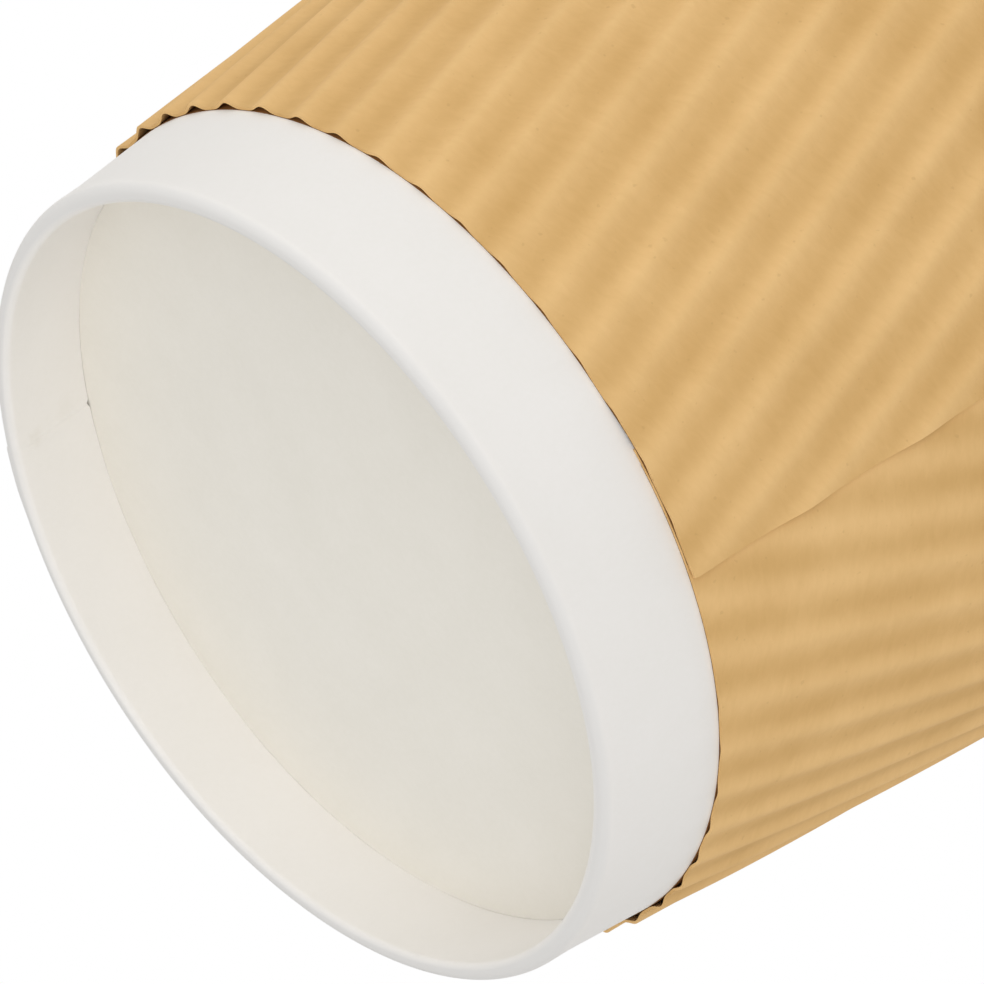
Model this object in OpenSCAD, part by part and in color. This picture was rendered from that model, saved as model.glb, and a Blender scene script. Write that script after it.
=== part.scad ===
// Takeaway paper cup with a ripple wrap.
// Millimetres, +Z up. The origin is the centre of the ring that the cup stands on.

/* [Cup] */
// Height from the surface that the cup stands on to the top of the rolled rim
cup_height = 111; // [95:1:130]
// Outside diameter of the foot, where the wall meets the surface
foot_d = 59; // [52:0.5:62]
// Outside diameter of the wall just under the rolled rim
mouth_d = 84.8; // [80:0.2:92]
// Outside radius of the rolled rim's tube
rim_roll_r = 1.5; // [1.2:0.05:2]
// How far round the rim paper is rolled, in degrees
rim_roll_angle = 300; // [240:5:310]
// Height of the base disc's underside over the surface that the cup stands on
recess_depth = 7.35; // [5:0.05:10]
// Outside radius of the bend between the base disc and its skirt
disc_bend_r = 0.6; // [0.6:0.05:1.5]

/* [Paper] */
// Thickness of the white wall paper
wall_t = 0.42; // [0.3:0.02:0.5]
// Thickness of the base disc's paper
disc_t = 0.34; // [0.24:0.02:0.5]
// Thickness of the brown sleeve paper
sheet_t = 0.2; // [0.16:0.02:0.4]
// Glue line between two glued layers
glue_t = 0.06; // [0.02:0.01:0.1]
// Inside radius of the tight fold at the foot
fold_inner_r = 0.05; // [0.02:0.01:0.1]
// Width of the strip where the ends of the wall paper overlap
side_lap_w = 6; // [4:0.5:9]
// Direction of the wall's overlap, in degrees from +X
side_lap_azimuth = 125; // [0:1:359]

/* [Sleeve] */
// Height of the bare white band under the sleeve
band_h = 9.2; // [6:0.1:14]
// Distance from the top of the rim down to the sleeve's upper edge
sleeve_drop = 10; // [6:0.5:20]
// Height of a flute's crest over the wall
flute_h = 0.8; // [0.75:0.01:1.6]
// Distance from one flute to the next, across the flutes
flute_pitch = 3.58; // [3:0.02:5]
// Shift of the nearest crest from the middle line of the flat sleeve, to the closest column of points
crest_shift = 1.3; // [0:0.1:3]
// Direction of the free edge at the foot of the sleeve's seam, in degrees from +X
seam_azimuth = -65; // [-180:1:180]
// Width of the sleeve's overlap at its seam
seam_lap_w = 9; // [6:0.5:14]
// Width of the pressed strip that shows beside the seam's free edge
pressed_w = 5; // [1:0.5:6]
// Length over which the flutes rise again beside a pressed strip
rise_w = 4; // [3:0.5:8]

/* [Hidden] */
$fn = 96;

WHITE = "#EBE8E1";
CREAM = "#DBD6CC";
KRAFT = "#D9B179";

// The wall is a cone. Its half angle, and the share of its normal thickness that lies level
rim_c_z = cup_height - rim_roll_r;
taper = (mouth_d - foot_d) / 2 / (rim_c_z - rim_roll_r);
cone_a = atan(taper);
across = 1 / cos(cone_a);

// Radius, at height z, of the cone that lies the distance depth inside the wall's outer face
function cone_r(z, depth = 0) = foot_d / 2 + z * taper - depth * across;

// Point at the distance r from a centre, at an angle measured from the profile's outward axis
function polar(centre, r, angle) = centre + r * [cos(angle), sin(angle)];

// Points along an arc of a profile, where paper bends. A full circle would get this many steps
ARC_STEPS = 48;
function arc(centre, r, from, to) =
    let (steps = ceil(abs(to - from) / 360 * ARC_STEPS))
    [for (i = [0 : steps]) polar(centre, r, from + (to - from) * i / steps)];

// Layers of the foot from outside to inside: wall, glue, skirt, glue, turned-in edge of the wall
skirt_out = wall_t + glue_t;
skirt_in = skirt_out + disc_t;
turn_out = skirt_in + glue_t;
foot_t = turn_out + wall_t;
fold_r = wall_t + fold_inner_r;

// The disc's bend starts here, and the turned-in edge ends here
bend_c_z = recess_depth + disc_t - disc_bend_r;
disc_top_z = recess_depth + disc_t;

// Centres of the tube of the rim and of the two rounded corners of the foot
rim_c = [cone_r(rim_c_z, wall_t) + rim_roll_r * across, rim_c_z];
foot_out_c = [cone_r(fold_r) - fold_r * across, fold_r];
foot_in_c = [cone_r(fold_r, foot_t) + fold_r * across, fold_r];

// Profile of the wall paper, from the outer corner of the foot up, round the rim's tube and back
module wall_profile() {
    rim_from = 180 - cone_a;
    rim_to = rim_from - rim_roll_angle;
    polygon(concat(
        arc(foot_out_c, fold_r, -90, -cone_a),
        arc(rim_c, rim_roll_r - wall_t, rim_from, rim_to),
        arc(rim_c, rim_roll_r, rim_to, rim_from),
        // Slot between wall and turned-in edge, which grips the skirt of the disc
        [
            [cone_r(wall_t, wall_t), wall_t],
            [cone_r(wall_t, turn_out), wall_t],
            [cone_r(bend_c_z, turn_out), bend_c_z],
            [cone_r(bend_c_z, foot_t), bend_c_z]
        ],
        arc(foot_in_c, fold_r, rim_from, 270)
    ));
}

// Strip of cone between two depths inside the wall's outer face and two heights
module cone_strip(depth_1, depth_2, z_1, z_2) {
    rotate_extrude()
        polygon([
            [cone_r(z_1, depth_1), z_1],
            [cone_r(z_2, depth_1), z_2],
            [cone_r(z_2, depth_2), z_2],
            [cone_r(z_1, depth_2), z_1]
        ]);
}

// The part of a child that lies in a radial band as wide as the wall's overlap
module in_side_lap() {
    intersection() {
        children();
        rotate([0, 0, side_lap_azimuth])
            translate([0, -side_lap_w / 2, 0])
                cube([mouth_d, side_lap_w, cup_height]);
    }
}

// White wall paper: cone, rolled rim, turned-in foot and overlapped side seam
module cup_wall() {
    lap_top_z = rim_c_z - rim_roll_r;
    color(WHITE)
        union() {
            rotate_extrude()
                wall_profile();
            in_side_lap()
                cone_strip(wall_t / 2, 2 * wall_t, disc_top_z + glue_t, lap_top_z);
            in_side_lap()
                cone_strip(foot_t - wall_t / 2, foot_t + wall_t, 2 * fold_r, bend_c_z);
        }
}

// Base disc with its skirt turned down between the wall and the turned-in edge
module base_disc() {
    bend_c = [cone_r(bend_c_z, skirt_out + disc_bend_r), bend_c_z];
    skirt_z = wall_t + glue_t;
    color(CREAM)
        rotate_extrude()
            polygon(concat(
                [[0, recess_depth]],
                arc(bend_c, disc_bend_r - disc_t, 90, -cone_a),
                [
                    [cone_r(skirt_z, skirt_in), skirt_z],
                    [cone_r(skirt_z, skirt_out), skirt_z]
                ],
                arc(bend_c, disc_bend_r, -cone_a, 90),
                [[0, disc_top_z]]
            ));
}

// The sleeve is a flat fan of fluted paper, wrapped round the cone.
// In the flat fan the flutes are parallel lines along y, and the cone's tip is at the origin.
tip_z = -foot_d / 2 / taper;
fan_r_1 = (band_h - tip_z) / cos(cone_a);
fan_r_2 = (cup_height - sleeve_drop - tip_z) / cos(cone_a);
fan_half = 180 * sin(cone_a);

// Side edge of the fan: a line at the angle fan_half, moved out by half of the lap
edge_dir = [sin(fan_half), cos(fan_half)];
edge_out = [cos(fan_half), -sin(fan_half)];
function edge_point(fan_r) =
    edge_out * seam_lap_w / 2 + edge_dir * sqrt(fan_r * fan_r - seam_lap_w * seam_lap_w / 4);

// Columns of points follow the flutes, five to a flute. Rows are closer together at the foot
POINTS_PER_FLUTE = 5;
ROWS = 7;
ROW_BIAS = 1.15;
CORNER_TRIM = 0.15;
corner_1 = edge_point(fan_r_1);
corner_2 = edge_point(fan_r_2);
middle_azimuth = seam_azimuth - atan2(corner_1[0], corner_1[1]) / sin(cone_a);
half_w = corner_2[0] - CORNER_TRIM;
columns = 2 * round(half_w / flute_pitch * POINTS_PER_FLUTE);
column_gap = 2 * half_w / columns;

function column_x(i) = -half_w + i * column_gap;
function row_share(k) = pow(k / ROWS, ROW_BIAS);

// Where a column starts: on the lower arc, or on the side edge beyond the lower corner
function column_start(x) =
    abs(x) < corner_1[0]
    ? sqrt(fan_r_1 * fan_r_1 - x * x)
    : corner_1[1] + (abs(x) - corner_1[0]) * edge_dir[1] / edge_dir[0];
function column_end(x) = sqrt(fan_r_2 * fan_r_2 - x * x);
function flat_point(x, k) =
    [x, column_start(x) + (column_end(x) - column_start(x)) * row_share(k)];

// Wraps a flat point round the cone and lifts it by h over the wall
function wrapped(p, h) =
    let (
        fan_r = norm(p),
        turn = atan2(p[0], p[1]) / sin(cone_a) + middle_azimuth,
        r = fan_r * sin(cone_a) + h * cos(cone_a)
    )
    [r * cos(turn), r * sin(turn), tip_z + fan_r * cos(cone_a) - h * sin(cone_a)];

// How deep the straight line between two rows dips under the cone. The sleeve is lifted by it
function dip(p, q) =
    let (
        middle = (wrapped(p, 0) + wrapped(q, 0)) / 2
    )
    (cone_r(middle[2]) - norm([middle[0], middle[1]])) * cos(cone_a);
row_dip = max([
    for (k = [0 : ROWS - 1])
        dip(flat_point(corner_1[0], k), flat_point(corner_1[0], k + 1))
]);
seat = glue_t + row_dip;
flute_rise = flute_h - seat - sheet_t;

// Distance of a flat point from the side edge on the left (side = -1) or the right (side = 1)
function from_edge(p, side) = seam_lap_w / 2 - [p[0] * side, p[1]] * edge_out;

// Smooth step from 0 to 1 over the distance rise_w
function eased(t) = let (u = max(0, min(1, t / rise_w))) u * u * (3 - 2 * u);

// The left end is pressed flat under the lap, and the right end lies over it
PRESSED_SHARE = 0.12;
function flute_share(p) =
    PRESSED_SHARE + (1 - PRESSED_SHARE) * eased(from_edge(p, -1) - seam_lap_w - pressed_w);
function lap_lift(p) =
    (sheet_t + seat + PRESSED_SHARE * flute_rise) * (1 - eased(from_edge(p, 1) - seam_lap_w));

// Shape across the flutes, from 0 in a valley to 1 on a crest. Crests are narrower than valleys
CREST_POWER = 2;
crest_x = column_x(round((crest_shift + half_w) / column_gap));
function wave(x) =
    pow((1 + cos(360 * (x - crest_x) / column_gap / POINTS_PER_FLUTE)) / 2, CREST_POWER);

// Height over the wall of the sheet's inner face
function sheet_h(p) = seat + lap_lift(p) + flute_rise * flute_share(p) * wave(p[0]);

// Corners of the cell between two columns and two rows, and of the cell's two triangles
function index(i, k, face) = face * (columns + 1) * (ROWS + 1) + i * (ROWS + 1) + k;
function split(a, b, c, d) = [[a, b, c], [a, c, d]];

// Brown fluted sleeve with open flute mouths and a lapped seam
module ripple_sleeve() {
    points = [
        for (face = [0, 1])
            for (i = [0 : columns])
                for (k = [0 : ROWS])
                    let (p = flat_point(column_x(i), k))
                    wrapped(p, sheet_h(p) + face * sheet_t)
    ];
    inner_face = [
        for (i = [0 : columns - 1])
            for (k = [0 : ROWS - 1])
                each split(index(i, k, 0), index(i + 1, k, 0), index(i + 1, k + 1, 0), index(i, k + 1, 0))
    ];
    outer_face = [
        for (i = [0 : columns - 1])
            for (k = [0 : ROWS - 1])
                each split(index(i, k, 1), index(i, k + 1, 1), index(i + 1, k + 1, 1), index(i + 1, k, 1))
    ];
    lower_edge = [
        for (i = [0 : columns - 1])
            each split(index(i, 0, 0), index(i, 0, 1), index(i + 1, 0, 1), index(i + 1, 0, 0))
    ];
    upper_edge = [
        for (i = [0 : columns - 1])
            each split(index(i, ROWS, 0), index(i + 1, ROWS, 0), index(i + 1, ROWS, 1), index(i, ROWS, 1))
    ];
    left_end = [
        for (k = [0 : ROWS - 1])
            each split(index(0, k, 0), index(0, k + 1, 0), index(0, k + 1, 1), index(0, k, 1))
    ];
    right_end = [
        for (k = [0 : ROWS - 1])
            each split(
                index(columns, k, 0),
                index(columns, k, 1),
                index(columns, k + 1, 1),
                index(columns, k + 1, 0)
            )
    ];
    color(KRAFT)
        polyhedron(
            points = points,
            faces = concat(inner_face, outer_face, lower_edge, upper_edge, left_end, right_end)
        );
}

cup_wall();
base_disc();
ripple_sleeve();
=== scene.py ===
# %% [markdown]
# # A takeaway paper cup in a sleeve of fluted paper
# The real cup is three pieces of paper. A white blank is rolled into a cone, lapped and sealed down one
# side, curled outwards at the mouth and folded inwards at the foot. A shallow tray of paper is the base:
# its skirt is gripped in the fold at the foot. A fan of fluted brown paper is wrapped round the cone and
# glued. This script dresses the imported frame: it builds each of the three sheets as a fine mesh that stands
# exactly where its solid does, and gives each its paper. Lengths are in millimetres until a mesh is made,
# apart from those whose names end in _M, which are in metres.

import math

import bpy
import numpy as np
from mathutils import Matrix, Vector


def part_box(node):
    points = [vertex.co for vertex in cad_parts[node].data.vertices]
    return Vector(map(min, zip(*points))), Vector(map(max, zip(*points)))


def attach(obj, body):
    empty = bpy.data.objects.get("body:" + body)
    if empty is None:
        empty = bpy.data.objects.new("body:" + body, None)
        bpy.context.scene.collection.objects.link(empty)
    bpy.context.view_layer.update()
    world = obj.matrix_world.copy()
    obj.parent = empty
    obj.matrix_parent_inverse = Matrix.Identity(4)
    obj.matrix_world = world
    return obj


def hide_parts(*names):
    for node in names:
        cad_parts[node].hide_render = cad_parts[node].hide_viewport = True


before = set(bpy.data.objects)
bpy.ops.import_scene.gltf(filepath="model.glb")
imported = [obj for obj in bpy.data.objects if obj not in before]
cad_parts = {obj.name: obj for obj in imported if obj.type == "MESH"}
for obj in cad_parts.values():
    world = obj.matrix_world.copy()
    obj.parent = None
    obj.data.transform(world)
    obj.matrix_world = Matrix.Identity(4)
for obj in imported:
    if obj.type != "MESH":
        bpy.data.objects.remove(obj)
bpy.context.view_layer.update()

MM = 0.001
BODY = "root"
print("nodes:", sorted(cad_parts))

# %% [markdown]
# ## Sizes
# The sizes repeat the ones that the solids were drawn from, because the frame holds only finished meshes.
# The wall is a cone, so one function gives the radius at any height and at any depth inside the outer face.

# %% Sizes of the cup and its paper
CUP_HEIGHT = 111.0
FOOT_D = 59.0
MOUTH_D = 84.8
RIM_R = 1.5
RIM_ROLL = 300
RECESS_DEPTH = 7.35
DISC_BEND_R = 0.6
WALL_T = 0.42
DISC_T = 0.34
SHEET_T = 0.2
GLUE_T = 0.06
OUTER_CORNER_R = 0.75
INNER_CORNER_R = 0.45
SIDE_LAP_W = 6.0
SIDE_LAP_AZIMUTH = 125.0

TAPER = (MOUTH_D - FOOT_D) / 2 / (CUP_HEIGHT - 2 * RIM_R)
CONE_A = math.atan(TAPER)
ACROSS = 1 / math.cos(CONE_A)


def cone_r(z, depth=0.0):
    """Radius, at height z, of the cone that lies the distance depth inside the wall's outer face."""
    return FOOT_D / 2 + z * TAPER - depth * ACROSS


solid_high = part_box("cup_wall")[1]
print("height: solid", round(solid_high.z / MM, 2), "here", CUP_HEIGHT)
rim_d = 2 * (cone_r(CUP_HEIGHT - RIM_R, WALL_T) + RIM_R * (ACROSS + 1))
print("rim: solid", round(2 * solid_high.x / MM, 2), "here", round(rim_d, 2))

# %% [markdown]
# ## Uneven paper
# Paper is never quite flat or round. A sum of a few long waves in space gives a soft unevenness that closes
# on itself round the cup, looks the same each run, and moves neighbouring sheets together so that they never
# meet. Every set of bumps below is a pair of numbers: about how far across they are, and a seed.

# %% A soft unevenness
WAVES = 14
WAVE_RATES = (0.5, 1.3)


def unevenness(points, size, seed):
    """A smooth value of about -1 to 1 at each point, with bumps about size across."""
    rng = np.random.default_rng(seed)
    directions = rng.normal(size=(WAVES, 3))
    directions /= np.linalg.norm(directions, axis=1, keepdims=True)
    waves = directions * (math.tau / size * rng.uniform(*WAVE_RATES, (WAVES, 1)))
    phases = rng.uniform(0, math.tau, WAVES)
    return np.sin(points @ waves.T + phases).sum(axis=-1) / math.sqrt(WAVES)


def smooth(t):
    """Smooth step from 0 to 1 as t goes from 0 to 1."""
    u = np.clip(t, 0, 1)
    return u * u * (3 - 2 * u)


OUT_OF_ROUND = 0.12
OVAL_PHASE = 1.3
WALL_WAVE = 0.05
WALL_BUMPS = (34.0, 11)
STEADY_R = 20.0


def ring_points(r, azimuth, z):
    """Points from a radius, an azimuth in radians and a height."""
    return np.stack([r * np.cos(azimuth), r * np.sin(azimuth), z], axis=-1)


def round_cup(r, azimuth, z):
    """Points on the slightly uneven cup, from a true radius, an azimuth in radians and a height."""
    oval = OUT_OF_ROUND * np.cos(2 * azimuth - OVAL_PHASE)
    push = oval + WALL_WAVE * unevenness(ring_points(r, azimuth, z), *WALL_BUMPS)
    return ring_points(r + push * smooth(r / STEADY_R), azimuth, z)


print("unevenness of the wall, in mm:", OUT_OF_ROUND + WALL_WAVE)

# %% [markdown]
# ## From points to a mesh
# All the sheets are grids of points, so a few small helpers do for all. They number a grid's points, close it
# round the axis, join the numbers with four-sided faces, and make the object, smooth but with crisp cut
# edges, and seat it in the frame.

# %% Grid faces and finished pieces
CRISP_ANGLE = 50


def number_grid(shape, start=0):
    """Point numbers, counted from start, in an array with the first two sizes in shape."""
    return start + np.arange(shape[0] * shape[1]).reshape(shape[:2])


def closed(index):
    """A grid of numbers with its first row again at its end, which closes it round the axis."""
    return np.vstack([index, index[:1]])


def rim_loop(index):
    """The numbers round the border of a grid, in order."""
    return np.concatenate([index[:-1, 0], index[-1, :-1], index[:0:-1, -1], index[0, ::-1]])


def grid_faces(index, flip=False):
    """Four-sided faces between the neighbours in a two-dimensional array of point numbers."""
    corners = [index[:-1, :-1], index[1:, :-1], index[1:, 1:], index[:-1, 1:]]
    faces = np.stack(corners, axis=-1).reshape(-1, 4)
    return faces[:, ::-1] if flip else faces


def make_piece(name, points, faces, node):
    """Makes a mesh object from points in millimetres, which stands for one CAD node."""
    mesh = bpy.data.meshes.new(name)
    mesh.from_pydata((points * MM).tolist(), [], [tuple(face) for face in faces])
    mesh.update()
    mesh.shade_smooth()
    mesh.set_sharp_from_angle(angle=math.radians(CRISP_ANGLE))
    piece = bpy.data.objects.new(name, mesh)
    bpy.context.scene.collection.objects.link(piece)
    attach(piece, BODY)
    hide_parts(node)
    print(name, "has", len(points), "points and", sum(len(face) - 2 for face in faces), "triangles")
    return piece


def make_sheet(name, lower, upper, node):
    """Makes a thin sheet from two matching grids of points, closed along its cut edge."""
    low = number_grid(lower.shape)
    high = number_grid(upper.shape, low.size)
    cut_edge = np.stack([rim_loop(low), rim_loop(high)], axis=1)
    faces = [grid_faces(low), grid_faces(high, flip=True), grid_faces(cut_edge, flip=True)]
    points = np.vstack([lower.reshape(-1, 3), upper.reshape(-1, 3)])
    return make_piece(name, points, np.vstack(faces), node)


# %% Lines and arcs of a profile
def arc(centre, r, start, stop, steps):
    """Points of an arc in a profile, with angles in degrees from the outward axis."""
    angles = np.radians(np.linspace(start, stop, steps + 1))
    return np.array(centre) + r * np.stack([np.cos(angles), np.sin(angles)], axis=-1)


def cone_line(z_1, z_2, depth, steps):
    """Points up or down a cone, without its two ends."""
    z = np.linspace(z_1, z_2, steps + 1)[1:-1]
    return np.stack([cone_r(z, depth), z], axis=-1)


# %% [markdown]
# ## The white wall
# One outline makes the whole sheet: up the outside from the foot, round the rolled rim, down the inside, then
# through the slot that grips the base and down the turned-in edge to the foot again. Turned round the axis it
# closes on itself. The side lap is added by moving points: the end that lies on top stops with a crisp step,
# and the end below lifts the sheet gently. The columns of points keep the lap the same width all the way up.
# The fold at the foot is a soft, full roll, because board that is folded round another layer doesn't crease
# sharply. It swells outwards a little.

# %% The wall's outline
SKIRT_OUT = WALL_T + GLUE_T
SKIRT_IN = SKIRT_OUT + DISC_T
TURN_OUT = SKIRT_IN + GLUE_T
FOOT_T = TURN_OUT + WALL_T
DISC_TOP_Z = RECESS_DEPTH + DISC_T
BEND_Z = DISC_TOP_Z - DISC_BEND_R
STRIP_CLEAR = 0.005
STRIP_BACK_RISE = 0.05
STRIP_Z = RECESS_DEPTH - STRIP_CLEAR
STRIP_BACK_Z = BEND_Z + STRIP_BACK_RISE
SLOT_TOP_Z = DISC_TOP_Z + GLUE_T
RIM_Z = CUP_HEIGHT - RIM_R
RIM_C = (cone_r(RIM_Z, WALL_T) + RIM_R * ACROSS, RIM_Z)
FOOT_OUT_C = (cone_r(OUTER_CORNER_R) - OUTER_CORNER_R * ACROSS, OUTER_CORNER_R)
FOOT_IN_C = (cone_r(INNER_CORNER_R, FOOT_T) + INNER_CORNER_R * ACROSS, INNER_CORNER_R)
TILT = math.degrees(CONE_A)
ROLL_END = 180 - TILT - RIM_ROLL
INNER_CORNER_END = 268
BAND_TOP = 12.0
HAIR = 0.01

outside, inside, hidden, strip = range(4)
profile_parts = [
    (outside, arc(FOOT_OUT_C, OUTER_CORNER_R, -90, -TILT, steps=8)),
    (outside, cone_line(OUTER_CORNER_R, BAND_TOP, 0, steps=14)),
    (outside, cone_line(BAND_TOP - HAIR, RIM_Z, 0, steps=22)),
    (hidden, arc(RIM_C, RIM_R - WALL_T, 180 - TILT, ROLL_END, steps=26)),
    (hidden, arc(RIM_C, RIM_R, ROLL_END, 180 - TILT, steps=32)),
    (inside, cone_line(RIM_Z, SLOT_TOP_Z, WALL_T, steps=30)),
    (hidden, cone_line(SLOT_TOP_Z + HAIR, WALL_T - HAIR, WALL_T, steps=4)),
    (hidden, np.array([[cone_r(WALL_T, WALL_T), WALL_T], [cone_r(WALL_T, TURN_OUT), WALL_T]])),
    (strip, np.array([[cone_r(STRIP_Z, TURN_OUT), STRIP_BACK_Z], [cone_r(STRIP_Z, FOOT_T), STRIP_Z]])),
    (strip, cone_line(STRIP_Z, INNER_CORNER_R, FOOT_T, steps=18)),
    (strip, arc(FOOT_IN_C, INNER_CORNER_R, 180 - TILT, INNER_CORNER_END, steps=10)),
]
profile = np.concatenate([points for kind, points in profile_parts])
kinds = np.concatenate([np.full(len(points), kind) for kind, points in profile_parts])
print("the wall's outline has", len(profile), "points")

# %% Columns that follow the side lap
COLUMNS = 380
LAP_U = math.degrees(SIDE_LAP_W / FOOT_D)
LAP_FADE = 40.0
EDGE_STEPS = (0.05, 0.25, 0.6)
lap_edges = [side * LAP_U + shift * turn for side in (-1, 1) for shift in EDGE_STEPS for turn in (-1, 1)]
turns = np.unique(np.concatenate([np.linspace(-180, 180, COLUMNS, endpoint=False), lap_edges]))


def column_azimuth(turn, r):
    """Azimuth in radians of a column at radius r: beside the lap the columns keep their distance."""
    near = 1 - smooth((np.abs(turn) - 2 * LAP_U) / LAP_FADE)
    return np.radians(SIDE_LAP_AZIMUTH + turn * (1 + (FOOT_D / 2 / r - 1) * near))


def lap_height(turn, crisp_side):
    """Share of a lap's full height: a crisp step on one side, and a gentle rise from the other side."""
    rise = smooth((turn * crisp_side + LAP_U) / LAP_U)
    return np.where(turn * crisp_side > LAP_U, 0.0, rise)


print("the wall has", len(turns), "columns, and its lap is", round(2 * LAP_U, 1), "degrees wide at the foot")

# %% [markdown]
# The folded edge has what a real one has: it wobbles a little, it has a small nick where the lap ends, and
# it steps inwards over the lap. The foot doesn't touch a flat surface everywhere: here and there it lifts by
# a few hundredths of a millimetre.

# %% The white wall as a mesh
OUTER_LAP = 0.14
INNER_LAP = 0.26
STRIP_LAP = 0.05
STRIP_LAP_H = 1.5
FOOT_LIFT = 0.02
FOOT_LIFT_H = 3.0
FOOT_LIFT_BUMPS = (30.0, 23)
FOOT_SWELL = 0.12
FOOT_SWELL_H = 3.0
EDGE_R = 30.0
EDGE_WOBBLE = 0.012
EDGE_BUMPS = (14.0, 21)
FINE_EDGE_BUMPS = (3.5, 22)
FINE_EDGE_SHARE = 0.5
EDGE_CALM = 0.6
EDGE_POWER = 3
NICK_DEPTH = 0.16
NICK_W = 0.22
MM_PER_DEGREE = math.radians(FOOT_D / 2)


def wall_points():
    """Array of points, one row for each column round the cup and one for each point of the outline."""
    turn, r = np.meshgrid(turns, profile[:, 0], indexing="ij")
    z = np.broadcast_to(profile[:, 1], r.shape).copy()
    kind = np.broadcast_to(kinds, r.shape)
    azimuth = column_azimuth(turn, r)
    edge = np.stack([EDGE_R * np.cos(azimuth), EDGE_R * np.sin(azimuth), np.zeros_like(r)], axis=-1)
    bumps = unevenness(edge, *EDGE_BUMPS) + FINE_EDGE_SHARE * unevenness(edge, *FINE_EDGE_BUMPS)
    wobble = EDGE_WOBBLE * np.minimum(bumps - EDGE_CALM, 0)
    nick = NICK_DEPTH * np.exp(-(((turn - LAP_U) * MM_PER_DEGREE / NICK_W) ** 2))
    reach = np.clip(z / STRIP_Z, 0, 1)
    z = z + np.where(kind == strip, reach**EDGE_POWER * (wobble - nick), 0)
    lift = FOOT_LIFT * (0.5 + 0.5 * unevenness(edge, *FOOT_LIFT_BUMPS))
    z = z + np.clip(lift, 0, None) * (1 - smooth(z / FOOT_LIFT_H))
    bulge = OUTER_LAP * lap_height(turn, 1) + FOOT_SWELL * (1 - smooth(z / FOOT_SWELL_H))
    r = r + np.where(kind == outside, bulge, 0)
    r = r - np.where(kind == inside, INNER_LAP * lap_height(turn, -1), 0)
    r = r - np.where(kind == strip, STRIP_LAP * lap_height(turn, 1) * smooth(z / STRIP_LAP_H), 0)
    return round_cup(r, azimuth, z)


points = wall_points()
ring = closed(number_grid(points.shape))
faces = grid_faces(np.hstack([ring, ring[:, :1]]))
wall_paper = make_piece("wall_paper", points.reshape(-1, 3), faces, "cup_wall")

# %% [markdown]
# ## The base
# The base is a shallow tray, upside down: a flat disc whose edge is bent down into a skirt. It is one outline
# turned round the axis, closed by a point in the middle of each face. A disc that is glued all round its edge
# stays a little drummed, so its faces share a soft unevenness that dies out at the bend.

# %% The base as a mesh
BASE_COLUMNS = 300
BASE_RINGS = 34
MIDDLE_R = 0.8
BASE_WAVE = 0.09
BASE_BUMPS = (26.0, 31)
BASE_DOME = 0.12
DRUM_EDGE_W = 9.0

bend_c = (cone_r(BEND_Z, SKIRT_OUT + DISC_BEND_R), BEND_Z)
skirt_z = WALL_T + GLUE_T
flat_r = np.linspace(MIDDLE_R, bend_c[0], BASE_RINGS)[:-1]
base_profile = np.concatenate(
    [
        np.stack([flat_r, np.full_like(flat_r, RECESS_DEPTH)], axis=-1),
        arc(bend_c, DISC_BEND_R - DISC_T, 90, -TILT, steps=8),
        cone_line(BEND_Z, skirt_z, SKIRT_IN, steps=6),
        [[cone_r(skirt_z, SKIRT_IN), skirt_z], [cone_r(skirt_z, SKIRT_OUT), skirt_z]],
        cone_line(skirt_z, BEND_Z, SKIRT_OUT, steps=6),
        arc(bend_c, DISC_BEND_R, -TILT, 90, steps=10),
        np.stack([flat_r[::-1], np.full_like(flat_r, DISC_TOP_Z)], axis=-1),
    ]
)


def base_points():
    """Array of points, one row for each column round the base and one for each point of its outline."""
    azimuth = np.linspace(0, math.tau, BASE_COLUMNS, endpoint=False)[:, None]
    r = np.broadcast_to(base_profile[:, 0], (BASE_COLUMNS, len(base_profile)))
    z = np.broadcast_to(base_profile[:, 1], r.shape)
    inward = smooth((bend_c[0] - r) / DRUM_EDGE_W)
    drum = BASE_WAVE * unevenness(ring_points(r, azimuth, np.zeros_like(r)), *BASE_BUMPS) + BASE_DOME
    return round_cup(r, np.broadcast_to(azimuth, r.shape), z + drum * inward)


points = base_points()
middles = points[:, [0, -1]].mean(axis=0)
ring = closed(number_grid(points.shape))
below = points.shape[0] * points.shape[1]
above = below + 1
fans = [(ring[i, 0], ring[i + 1, 0], below) for i in range(BASE_COLUMNS)]
fans += [(ring[i + 1, -1], ring[i, -1], above) for i in range(BASE_COLUMNS)]
faces = [tuple(face) for face in grid_faces(ring, flip=True)] + fans
points = np.vstack([points.reshape(-1, 3), middles])
base_paper = make_piece("base_paper", points, faces, "base_disc")

# %% [markdown]
# ## The fluted sleeve
# The sleeve is cut from a flat sheet with straight, parallel flutes, in the shape of a fan, and then wrapped
# round the cone. Flutes near the middle of the fan run straight up the cup and the others lean more and
# more, until they meet the seam at an angle. So the mesh starts flat: its columns follow the flutes, and each
# point is wrapped round the cone and lifted by the height of the flute. One end of the fan lies pressed under
# the other.

# %% The flat fan
BAND_H = 9.2
SLEEVE_DROP = 10.0
FLUTE_H = 0.8
FLUTE_PITCH = 3.58
CREST_SHIFT = 1.3
STEPS_PER_FLUTE = 5
SEAM_AZIMUTH = -65.0
SEAM_LAP_W = 9.0
PRESSED_W = 5.0
RISE_W = 4.0
CORNER_TRIM = 0.15

TIP_Z = -FOOT_D / 2 / TAPER
FAN_R_1 = (BAND_H - TIP_Z) * ACROSS
FAN_R_2 = (CUP_HEIGHT - SLEEVE_DROP - TIP_Z) * ACROSS
FAN_HALF = math.pi * math.sin(CONE_A)
EDGE_DIR = np.array([math.sin(FAN_HALF), math.cos(FAN_HALF)])
EDGE_OUT = np.array([math.cos(FAN_HALF), -math.sin(FAN_HALF)])


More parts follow.
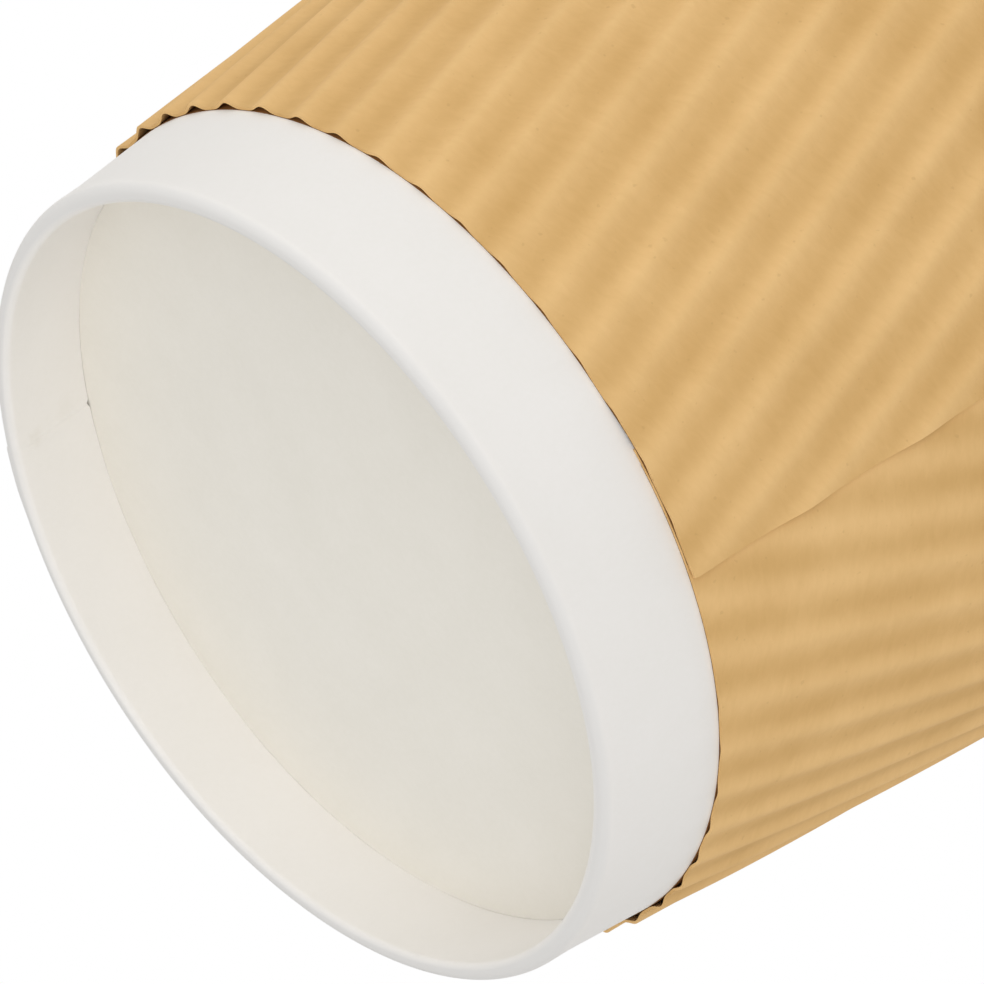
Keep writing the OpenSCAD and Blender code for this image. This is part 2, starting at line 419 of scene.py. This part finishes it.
def edge_point(fan_r):
    """Point of the fan's side edge at a distance from the cone's tip."""
    return EDGE_OUT * SEAM_LAP_W / 2 + EDGE_DIR * math.sqrt(fan_r**2 - SEAM_LAP_W**2 / 4)


corner_1 = edge_point(FAN_R_1)
corner_2 = edge_point(FAN_R_2)
MIDDLE_AZIMUTH = math.radians(SEAM_AZIMUTH) - math.atan2(*corner_1) / math.sin(CONE_A)
HALF_W = corner_2[0] - CORNER_TRIM
steps = 2 * round(HALF_W / FLUTE_PITCH * STEPS_PER_FLUTE)
step = 2 * HALF_W / steps
flutes = steps / STEPS_PER_FLUTE
PITCH = step * STEPS_PER_FLUTE
CREST_X = step * round((CREST_SHIFT + HALF_W) / step) - HALF_W
print("the fan is", round(2 * HALF_W, 1), "mm wide")
print("it has", round(flutes, 1), "flutes", round(PITCH, 3), "mm apart")

# %% Points of the flat fan
POINTS_PER_FLUTE = 18
SLEEVE_ROWS = 30
ROW_BIAS = 1.6

sleeve_columns = round(flutes * POINTS_PER_FLUTE)
column_x = np.linspace(-HALF_W, HALF_W, sleeve_columns + 1)
beyond = np.abs(column_x) - corner_1[0]
column_start = np.where(
    beyond < 0,
    np.sqrt(np.maximum(FAN_R_1**2 - column_x**2, 0)),
    corner_1[1] + beyond * EDGE_DIR[1] / EDGE_DIR[0],
)
column_end = np.sqrt(FAN_R_2**2 - column_x**2)
shares = (np.arange(SLEEVE_ROWS + 1) / SLEEVE_ROWS) ** ROW_BIAS
flat_x = np.repeat(column_x[:, None], SLEEVE_ROWS + 1, axis=1)
flat_y = column_start[:, None] + (column_end - column_start)[:, None] * shares
print("the flat fan has", flat_x.size, "points on each face")

# %% [markdown]
# The height of the sheet over the wall is worked out from the same rules as the solid: full flutes, a strip
# pressed nearly flat beside the seam, and the lap that rides over it. Two things are added that a person sees
# on a real sleeve: the flutes differ a little in height, and their lines wander a little from side to side.
# They are also lower on both sides of the seam, and most of all at the lower edge there, where the sheet is
# clamped while the glue sets.

# %% Height of the sheet over the wall
PRESSED_SHARE = 0.12
SEAT = 0.06
FLUTE_RISE = FLUTE_H - SEAT - SHEET_T
CREST_POWER = 2.2
UNEVEN_HEIGHT = 0.12
HEIGHT_BUMPS = (7.0, 42)
UNEVEN_PLACE = 0.14
PLACE_BUMPS = (11.0, 41)
FLUTE_STRETCH = 0.16
CLAMPED = ((1, 0.35), (-1, 0.6))
CLAMPED_W = 50.0
EDGE_CLAMPED = 0.35
EDGE_CLAMPED_H = 9.0

fan_r = np.hypot(flat_x, flat_y)
wrap_azimuth = np.arctan2(flat_x, flat_y) / math.sin(CONE_A) + MIDDLE_AZIMUTH


def from_edge(side):
    """Distance of each flat point from the fan's left (-1) or right (1) side edge."""
    return SEAM_LAP_W / 2 - (flat_x * side * EDGE_OUT[0] + flat_y * EDGE_OUT[1])


def lap_lift():
    """How much higher the end that lies on top runs over the pressed end."""
    under = SHEET_T + SEAT + PRESSED_SHARE * FLUTE_RISE
    return under * (1 - smooth((from_edge(1) - SEAM_LAP_W) / RISE_W))


def sheet_height():
    """Height over the wall of the sheet's inner face, at each flat point."""
    flat = np.stack([flat_x, flat_y * FLUTE_STRETCH, np.zeros_like(flat_x)], axis=-1)
    place = flat_x + UNEVEN_PLACE * unevenness(flat, *PLACE_BUMPS)
    wave = ((1 + np.cos(math.tau * (place - CREST_X) / PITCH)) / 2) ** CREST_POWER
    uneven = 1 + UNEVEN_HEIGHT * (unevenness(flat, *HEIGHT_BUMPS) - 1) / 2
    rise = smooth((from_edge(-1) - SEAM_LAP_W - PRESSED_W) / RISE_W)
    share = PRESSED_SHARE + (1 - PRESSED_SHARE) * rise
    at_edge = EDGE_CLAMPED * (1 - smooth((fan_r - FAN_R_1) / EDGE_CLAMPED_H))
    for side, low in CLAMPED:
        near = 1 - smooth((from_edge(side) - SEAM_LAP_W) / CLAMPED_W)
        share = share * (1 - (low + at_edge) * near)
    return SEAT + lap_lift() + FLUTE_RISE * share * uneven * wave


def wrapped(height):
    """Flat points wrapped round the cup and lifted over its wall by a height."""
    r = fan_r * math.sin(CONE_A) + height * math.cos(CONE_A)
    z = TIP_Z + fan_r * math.cos(CONE_A) - height * math.sin(CONE_A)
    return round_cup(r, wrap_azimuth, z)


inner_height = sheet_height()
print("the sheet stands", round(inner_height.min(), 2), "to", round(inner_height.max(), 2), "mm off the wall")

# %% The sleeve as a mesh
inner_face = wrapped(inner_height)
outer_face = wrapped(inner_height + SHEET_T)
sleeve_paper = make_sheet("sleeve_paper", inner_face, outer_face, "ripple_sleeve")

# %% [markdown]
# Looked at from below, the mouths of the flutes are brown inside, and the brown ends on a smooth circle. So
# the flutes have a thin flat liner of the same paper at their back, which keeps them in shape. It is much too
# thin to matter to the solid, and it needs only a coarse selection of the sheet's points. Its paper is
# painted a darker brown, as painted shade for the deep mouths of the flutes.

# %% The flat liner behind the flutes
LINER_LOW = 0.012
LINER_HIGH = 0.048
COLUMNS_SKIPPED = 6
ROWS_SKIPPED = 3

coarse_columns = np.append(np.arange(0, sleeve_columns, COLUMNS_SKIPPED), sleeve_columns)
coarse = np.ix_(coarse_columns, np.arange(0, SLEEVE_ROWS + 1, ROWS_SKIPPED))
liner_low = wrapped(lap_lift() + LINER_LOW)[coarse]
liner_high = wrapped(lap_lift() + LINER_HIGH)[coarse]
sleeve_liner = make_sheet("sleeve_liner", liner_low, liner_high, "ripple_sleeve")

# %% [markdown]
# The fibres lie in the flat sheet, so the sleeve carries the flat coordinates as a UV map. One unit of the
# map is one centimetre of paper.

# %% Flat coordinates as a UV map
FLAT_MAP = "flat_sheet"
MAP_UNIT = 10.0

flat_pairs = np.stack([flat_x, flat_y - FAN_R_1], axis=-1) / MAP_UNIT


def map_flat(piece, pairs):
    """Gives both faces of a sheet the flat coordinates of its grid of points."""
    corner_points = np.zeros(len(piece.data.loops), dtype=np.int32)
    piece.data.loops.foreach_get("vertex_index", corner_points)
    both_faces = np.vstack([pairs.reshape(-1, 2)] * 2)
    flat_map = piece.data.uv_layers.new(name=FLAT_MAP)
    flat_map.data.foreach_set("uv", both_faces[corner_points].astype(np.float32).ravel())


map_flat(sleeve_paper, flat_pairs)
map_flat(sleeve_liner, flat_pairs[coarse])
print("flat map from", flat_pairs.min(axis=(0, 1)).round(2), "to", flat_pairs.max(axis=(0, 1)).round(2))

# %% [markdown]
# ## Nodes
# Colours are written as hex values in sRGB, as a designer reads them, and turned to linear light by one
# function. One helper adds a node. Each name in its list of values is a property or a socket, and a socket
# gets either a value or another node's output. The helpers after it are for the nodes that are used most.

# %% Colours and the node helper
def to_linear(hex_colour):
    """Linear RGBA from an sRGB hex colour."""
    channels = [int(hex_colour[i : i + 2], 16) / 255 for i in (1, 3, 5)]
    return [c / 12.92 if c <= 0.04045 else ((c + 0.055) / 1.055) ** 2.4 for c in channels] + [1.0]


def add_node(tree, kind, values=None):
    """Adds a node and gives its properties and sockets their values, in the order in which they stand."""
    node = tree.nodes.new(kind)
    for name, value in (values or {}).items():
        if isinstance(value, bpy.types.NodeSocket):
            tree.links.new(value, node.inputs[name])
        elif isinstance(name, int) or name in node.inputs:
            node.inputs[name].default_value = value
        else:
            setattr(node, name, value)
    return node


print("a mid grey of #808080 is", round(to_linear("#808080")[0], 3), "in linear light")


# %% Helpers for the nodes that are used most
def maths(tree, operation, *values):
    """The result of a sum on numbers or sockets."""
    node = add_node(tree, "ShaderNodeMath", {"operation": operation, **dict(enumerate(values))})
    return node.outputs["Value"]


def vector_maths(tree, operation, output, *values):
    """The result of a sum on vectors, from the output that holds it."""
    node = add_node(tree, "ShaderNodeVectorMath", {"operation": operation, **dict(enumerate(values))})
    return node.outputs[output]


def noise(tree, place, scale, detail, roughness=0.5, distortion=0.0):
    """A noise of about 0 to 1 at a place."""
    values = {"Vector": place, "Scale": scale, "Detail": detail}
    values |= {"Roughness": roughness, "Distortion": distortion}
    return add_node(tree, "ShaderNodeTexNoise", values).outputs["Fac"]


def ease(tree, value, low, high, first, last, interpolation="SMOOTHSTEP"):
    """Goes from first to last while the value goes from low to high."""
    values = {"interpolation_type": interpolation, "Value": value}
    values |= {"From Min": low, "From Max": high, "To Min": first, "To Max": last}
    return add_node(tree, "ShaderNodeMapRange", values).outputs["Result"]


def shade(tree, value, low, high, dark, light):
    """Colour that goes from dark to light while the value goes from low to high."""
    node = add_node(tree, "ShaderNodeValToRGB", {"Fac": value})
    for element, position, colour in zip(node.color_ramp.elements, (low, high), (dark, light)):
        element.position = position
        element.color = to_linear(colour)
    return node.outputs["Color"]


def tinged(tree, share, colour, tone):
    """A colour with a share of a plain tone in it."""
    values = {"data_type": "RGBA", 0: share, 6: colour, 7: to_linear(tone)}
    return add_node(tree, "ShaderNodeMix", values).outputs[2]


def coordinate(tree, kind):
    """Texture coordinates of one kind."""
    return add_node(tree, "ShaderNodeTexCoord").outputs[kind]


def xyz(tree, vector, axis):
    """One of a vector's three parts."""
    return add_node(tree, "ShaderNodeSeparateXYZ", {0: vector}).outputs[axis]


def empty_tree(owner):
    """The empty node tree of a material or a world."""
    owner.use_nodes = True
    owner.node_tree.nodes.clear()
    return owner.node_tree


def new_paper(name, ior, specular):
    """A material with a paper's shader, wired to its output."""
    material = bpy.data.materials.new(name)
    tree = empty_tree(material)
    shader = add_node(tree, "ShaderNodeBsdfPrincipled", {"IOR": ior, "Specular IOR Level": specular})
    add_node(tree, "ShaderNodeOutputMaterial", {"Surface": shader.outputs["BSDF"]})
    return material, tree, shader


def roughen(tree, shader, height, depth):
    """Bumps on a paper, from a noise and their real depth in millimetres."""
    values = {"Strength": 1.0, "Distance": depth * MM, "Height": height}
    tree.links.new(add_node(tree, "ShaderNodeBump", values).outputs["Normal"], shader.inputs["Normal"])


def per_metre(size_mm):
    """Scale of a noise on object coordinates whose bumps are size_mm across."""
    return 1 / (size_mm * MM)


print("bumps 0.35 mm across need a noise with a scale of", round(per_metre(0.35)))

# %% [markdown]
# ## Coated cup paper
# Cup paper is bleached board with a thin film of polyethylene, run on hot and pressed on a matt roller. The
# eye gets a clean, slightly warm white with a broad soft sheen, and only a hint of the board's fibres in the
# film. Polyethylene has an IOR of 1.5. The board's clouding is about 9 mm across, and the grain of its
# surface about 0.35 mm, drawn a little coarse so that it survives at arm's length.

# %% Coated paper
SPECULAR = 0.25
FILM_IOR = 1.5
GRAIN_SHARE = 0.35
GRAIN_DEPTH = 0.006
BOARD_TONES = (0.3, 0.7)
SHEEN_SPREAD = 0.05


def coated_paper(name, light, dark, roughness, cloud_mm, grain_mm, marks=None):
    """White or cream board under a satin film. The function marks adds painted shade and spots to its colour.
    """
    material, tree, shader = new_paper(name, FILM_IOR, SPECULAR)
    place = coordinate(tree, "Object")
    cloud = noise(tree, place, per_metre(cloud_mm), detail=3.0, roughness=0.6)
    grain = noise(tree, place, per_metre(grain_mm), detail=2.0)
    grain_part = maths(tree, "MULTIPLY", grain, GRAIN_SHARE)
    tone = maths(tree, "MULTIPLY_ADD", cloud, 1 - GRAIN_SHARE, grain_part)
    colour = shade(tree, tone, *BOARD_TONES, dark, light)
    if marks:
        colour = marks(tree, place, colour)
    tree.links.new(colour, shader.inputs["Base Color"])
    sheen = ease(tree, cloud, 0.0, 1.0, roughness - SHEEN_SPREAD, roughness + SHEEN_SPREAD, "LINEAR")
    tree.links.new(sheen, shader.inputs["Roughness"])
    roughen(tree, shader, grain, GRAIN_DEPTH)
    return material


print("the grain of coated paper is", GRAIN_DEPTH, "mm deep")

# %% [markdown]
# Where the wall is folded at the foot, the outer bend of the fold, under a millimetre high, is painted a
# shade
# greyer: painted shade that dulls the bend where the lamps would light it brighter than the band. The folded
# edge also has two faint darker spots, under the nick in it.

# %% The white wall's paper
FOLD_LOW = 0.12
FOLD_TOP = 0.62
FOLD_PAINTED_SHADE = "#E9E7E4"
FOLD_IN_R = FOOT_D / 2 - 1.1
FOLD_OUT_R = FOOT_D / 2 - 0.75
DARK_SPOT_TONE = "#D6CFBF"
# Two faint darker spots on the folded edge, near the nick.
DARK_SPOTS = (
    {"azimuth": 131.4, "z": 1.9, "size": 1.1, "share": 0.17},
    {"azimuth": 132.7, "z": 5.2, "size": 1.5, "share": 0.08},
)


def with_dark_spot(tree, place, colour, azimuth, z, size, share):
    """Mixes a soft dull spot, at an azimuth and height on the folded edge, into a colour."""
    angle = math.radians(azimuth)
    r = cone_r(z, FOOT_T)
    spot = [r * math.cos(angle) * MM, r * math.sin(angle) * MM, z * MM]
    away = vector_maths(tree, "DISTANCE", "Value", place, spot)
    ragged = noise(tree, place, per_metre(size / 2), detail=3.0)
    spread = maths(tree, "MULTIPLY_ADD", ragged, size * MM, away)
    amount = ease(tree, spread, 0.5 * size * MM, 1.5 * size * MM, share, 0.0)
    return tinged(tree, amount, colour, DARK_SPOT_TONE)


def fold_shade_and_spots(tree, place, colour):
    """Painted shade on the outer bend of the fold at the foot, and the darker spots."""
    level = vector_maths(tree, "MULTIPLY", "Vector", place, (1.0, 1.0, 0.0))
    radius = vector_maths(tree, "LENGTH", "Value", level)
    outer = ease(tree, radius, FOLD_IN_R * MM, FOLD_OUT_R * MM, 0.0, 1.0, "LINEAR")
    low = ease(tree, xyz(tree, place, "Z"), FOLD_LOW * MM, FOLD_TOP * MM, 1.0, 0.0)
    # Painted shade: the outer bend of the fold, low down and towards the outside, is greyed where the lamps
    # would make it bright.
    colour = tinged(tree, maths(tree, "MULTIPLY", low, outer), colour, FOLD_PAINTED_SHADE)
    for dark_spot in DARK_SPOTS:
        colour = with_dark_spot(tree, place, colour, **dark_spot)
    return colour


white_cup_paper = coated_paper(
    "white_cup_paper", "#F6F3EF", "#F3F0EB", roughness=0.6, cloud_mm=9.0, grain_mm=0.35, marks=fold_shade_and_spots
)
wall_paper.data.materials.append(white_cup_paper)
print("paper of the wall:", white_cup_paper.name)

# %% [markdown]
# The base is cut from the same kind of board, but its coated face is up, in the drink. The face that shows
# from below is bare board: a little creamier, duller and more clouded.

# %% The base's paper
cream_base_paper = coated_paper(
    "cream_base_paper", "#F5F1E8", "#F1EDE3", roughness=0.7, cloud_mm=7.0, grain_mm=0.4
)
base_paper.data.materials.append(cream_base_paper)
print("paper of the base:", cream_base_paper.name)

# %% [markdown]
# ## Kraft paper
# The sleeve is unbleached kraft: long wood fibres in their own brown, pressed with no coat. It has almost no
# sheen, so the roughness is high. The fibres lie mostly across the flutes, the way that the sheet ran through
# the machine, with fine streaks, soft clouds and a few dark flecks of bark. Painted shade makes the valleys
# of the flutes a little darker than the crests. The liner behind them is the same paper, painted a darker
# brown as painted shade for the deep mouths of the flutes.

# %% The sleeve's paper
KRAFT_IOR = 1.45
KRAFT_ROUGHNESS = 0.85
KRAFT_TONES = (0.2, 0.8)
FLUTE_PAINTED_SHADE = 0.13
FIBRE_SHARE = 0.2
FIBRE_LENGTH = 1.2
FIBRE_WIDTH = 0.5
FIBRE_DEPTH = 0.008
CLOUD_SHARE = 0.5
CLOUD_MM = 8.0
FLECK_MM = 0.5
FLECK_LOW = 0.72
FLECK_HIGH = 0.78
FLECK_SHARE = 0.15
FLECK_BROWN = "#A87B45"


def kraft_paper(name, light, dark):
    """Unbleached fluted paper with fibres that follow the flat sheet, and painted shade in the valleys of the
    flutes.
    """
    material, tree, shader = new_paper(name, KRAFT_IOR, SPECULAR)
    flat = add_node(tree, "ShaderNodeUVMap", {"uv_map": FLAT_MAP}).outputs["UV"]
    stretch = {"Scale": (MAP_UNIT / FIBRE_LENGTH, MAP_UNIT / FIBRE_WIDTH, 1.0), "Vector": flat}
    along = add_node(tree, "ShaderNodeMapping", stretch).outputs["Vector"]
    fibres = noise(tree, along, 1.0, detail=3.0, roughness=0.65, distortion=0.6)
    clouds = noise(tree, flat, MAP_UNIT / CLOUD_MM, detail=3.0, roughness=0.6)
    flecks = noise(tree, flat, MAP_UNIT / FLECK_MM, detail=1.0, roughness=0.4)
    soft = maths(tree, "MULTIPLY_ADD", clouds, CLOUD_SHARE, (1 - CLOUD_SHARE - FIBRE_SHARE) / 2)
    mixed = maths(tree, "MULTIPLY_ADD", fibres, FIBRE_SHARE, soft)
    across = xyz(tree, flat, "X")
    # Painted shade: the cosine of the flutes' phase makes the valleys darker and the crests lighter.
    phase = maths(tree, "MULTIPLY_ADD", across, math.tau * MAP_UNIT / PITCH, -math.tau * CREST_X / PITCH)
    tone = maths(tree, "MULTIPLY_ADD", maths(tree, "COSINE", phase), FLUTE_PAINTED_SHADE, mixed)
    brown = shade(tree, tone, *KRAFT_TONES, dark, light)
    fleck = ease(tree, flecks, FLECK_LOW, FLECK_HIGH, 0.0, FLECK_SHARE, "LINEAR")
    tree.links.new(tinged(tree, fleck, brown, FLECK_BROWN), shader.inputs["Base Color"])
    shader.inputs["Roughness"].default_value = KRAFT_ROUGHNESS
    roughen(tree, shader, fibres, FIBRE_DEPTH)
    return material


kraft = kraft_paper("kraft_paper", "#F2C98C", "#D3A869")
sleeve_paper.data.materials.append(kraft)
# Painted shade: the liner is the same paper in a darker brown, standing for the deep shade in the mouths of
# the flutes.
shaded_kraft_liner = kraft_paper("kraft_liner_painted_shade", "#8E6236", "#724C26")
sleeve_liner.data.materials.append(shaded_kraft_liner)
print("papers of the sleeve:", kraft.name, "and", shaded_kraft_liner.name)

# %% [markdown]
# ## Camera
# The picture looks up at the foot from below the cup's side, through a long lens, with the cup lying far over
# to the side of the frame. So the camera is placed by four plain numbers: the point it aims at, its distance,
# how far it looks up, and how far it is rolled.

# %% The camera
AIM = Vector((1.84, -7.93, 12.82))
CAMERA_DISTANCE = 317.2
LOOK_UP = math.radians(31.74)
ROLL = math.radians(56.88)
LENS = 176.6
SENSOR = 36.0
NEAR_M = 0.01
FAR_M = 20.0

ahead = Vector((0.0, math.cos(LOOK_UP), math.sin(LOOK_UP)))
level_right = Vector((1.0, 0.0, 0.0))
level_up = level_right.cross(ahead)
right = level_right * math.cos(ROLL) + level_up * math.sin(ROLL)
up = right.cross(ahead)

camera_data = bpy.data.cameras.new("photo_camera")
camera_data.lens = LENS
camera_data.sensor_width = SENSOR
camera_data.clip_start = NEAR_M
camera_data.clip_end = FAR_M
camera = bpy.data.objects.new("photo_camera", camera_data)
bpy.context.scene.collection.objects.link(camera)
turned = Matrix((right, up, -ahead)).transposed().to_4x4()
camera.matrix_world = Matrix.Translation((AIM - ahead * CAMERA_DISTANCE) * MM) @ turned
bpy.context.scene.camera = camera
print("the camera stands at", [round(value / MM, 1) for value in camera.matrix_world.translation], "mm")

# %% [markdown]
# ## Floor and light
# The camera is lower than the surface that the cup stands on, so the floor is made one-sided. From above it
# is a plain pale floor that takes the cup's shadow. From below it lets the eye and the light through. Far
# from the cup it fades to the white of the background. The light is what a product studio has: a white room
# that is a little brighter low down, a large soft lamp on the viewer's side and lower than the cup, a second
# one at its left, a weak one at its right, and one overhead. Their strengths add up to a level at which a
# colour comes out about as it is written.

# %% The floor
FLOOR_Z = -0.05
FLOOR_PALE = "#F2F1EF"
FLOOR_HALF_M = 3.0
FADE_START_M = 0.15
FADE_END_M = 0.5


def looked_at(tree):
    """1 for a ray by which something is seen, directly, in a gloss or through glass, and 0 for light."""
    path = add_node(tree, "ShaderNodeLightPath").outputs
    seen = maths(tree, "MAXIMUM", path["Is Camera Ray"], path["Is Glossy Ray"])
    return maths(tree, "MAXIMUM", seen, path["Is Transmission Ray"])


def mix_shaders(tree, share, first, second):
    """A shader that goes from the first to the second as share goes from 0 to 1."""
    return add_node(tree, "ShaderNodeMixShader", {0: share, 1: first, 2: second}).outputs["Shader"]


def plain_floor():
    """One-sided pale material that fades to the white of the background far from the cup."""
    material = bpy.data.materials.new("plain_floor")
    tree = empty_tree(material)
    back = add_node(tree, "ShaderNodeNewGeometry").outputs["Backfacing"]
    shown = maths(tree, "MULTIPLY", looked_at(tree), maths(tree, "SUBTRACT", 1.0, back))
    reach = vector_maths(tree, "LENGTH", "Value", coordinate(tree, "Object"))
    fade = ease(tree, reach, FADE_START_M, FADE_END_M, 0.0, 1.0)
    pale = add_node(tree, "ShaderNodeBsdfDiffuse", {"Color": to_linear(FLOOR_PALE)}).outputs["BSDF"]
    white = add_node(tree, "ShaderNodeEmission", {"Strength": 1.0}).outputs["Emission"]
    clear = add_node(tree, "ShaderNodeBsdfTransparent").outputs["BSDF"]
    surface = mix_shaders(tree, shown, clear, mix_shaders(tree, fade, pale, white))
    add_node(tree, "ShaderNodeOutputMaterial", {"Surface": surface})
    return material


floor_mesh = bpy.data.meshes.new("floor")
sides = ((-1, -1), (1, -1), (1, 1), (-1, 1))
floor_corners = [(x * FLOOR_HALF_M, y * FLOOR_HALF_M, FLOOR_Z * MM) for x, y in sides]
floor_mesh.from_pydata(floor_corners, [], [(0, 1, 2, 3)])
floor = bpy.data.objects.new("floor", floor_mesh)
bpy.context.scene.collection.objects.link(floor)
floor.data.materials.append(plain_floor())
print("the floor lies", -FLOOR_Z, "mm under the foot")

# %% The white room
ROOM_LEVEL = 0.59
ROOM_TILT = -0.12


def white_room():
    """A world that is white to the eye and in reflections, and a softer grey as a source of light."""
    world = bpy.data.worlds.new("white_room")
    tree = empty_tree(world)
    height = xyz(tree, coordinate(tree, "Generated"), "Z")
    light = maths(tree, "MULTIPLY_ADD", height, ROOM_TILT, ROOM_LEVEL)
    level = ease(tree, looked_at(tree), 0.0, 1.0, light, 1.0, "LINEAR")
    values = {"Color": (1.0, 1.0, 1.0, 1.0), "Strength": level}
    room = add_node(tree, "ShaderNodeBackground", values)
    add_node(tree, "ShaderNodeOutputWorld", {"Surface": room.outputs["Background"]})
    return world


bpy.context.scene.world = white_room()
print("the room lights at", ROOM_LEVEL)

# %% The lamps
LAMP_AIM_M = Vector((0.0, 0.0, 0.03))
LAMP_SIZE_M = 0.5


def soft_lamp(name, direction, distance, level):
    """A square soft lamp that adds about level to a white surface that faces it. Distance is in metres."""
    lamp_data = bpy.data.lights.new(name, "AREA")
    lamp_data.shape = "SQUARE"
    lamp_data.size = LAMP_SIZE_M
    lamp_data.energy = level * math.pi**2 * distance**2
    lamp = bpy.data.objects.new(name, lamp_data)
    bpy.context.scene.collection.objects.link(lamp)
    towards = Vector(direction).normalized()
    lamp.location = LAMP_AIM_M + towards * distance
    lamp.rotation_mode = "QUATERNION"
    lamp.rotation_quaternion = towards.to_track_quat("Z", "Y")
    lamp.visible_camera = False
    print(name, "at", round(lamp_data.energy, 2), "W")


soft_lamp("key_lamp", direction=(0.07, -0.98, -0.65), distance=0.6, level=0.29)
soft_lamp("side_lamp", direction=(-0.95, -0.3, -0.1), distance=0.6, level=0.22)
soft_lamp("right_lamp", direction=(0.95, -0.1, -0.35), distance=0.6, level=0.045)
soft_lamp("top_lamp", direction=(0.15, -0.1, 1.0), distance=0.8, level=0.38)

# %% [markdown]
# ## Colours
# The colours are shown as they are.

# %% Finish
scene = bpy.context.scene
scene.view_settings.view_transform = "Standard"
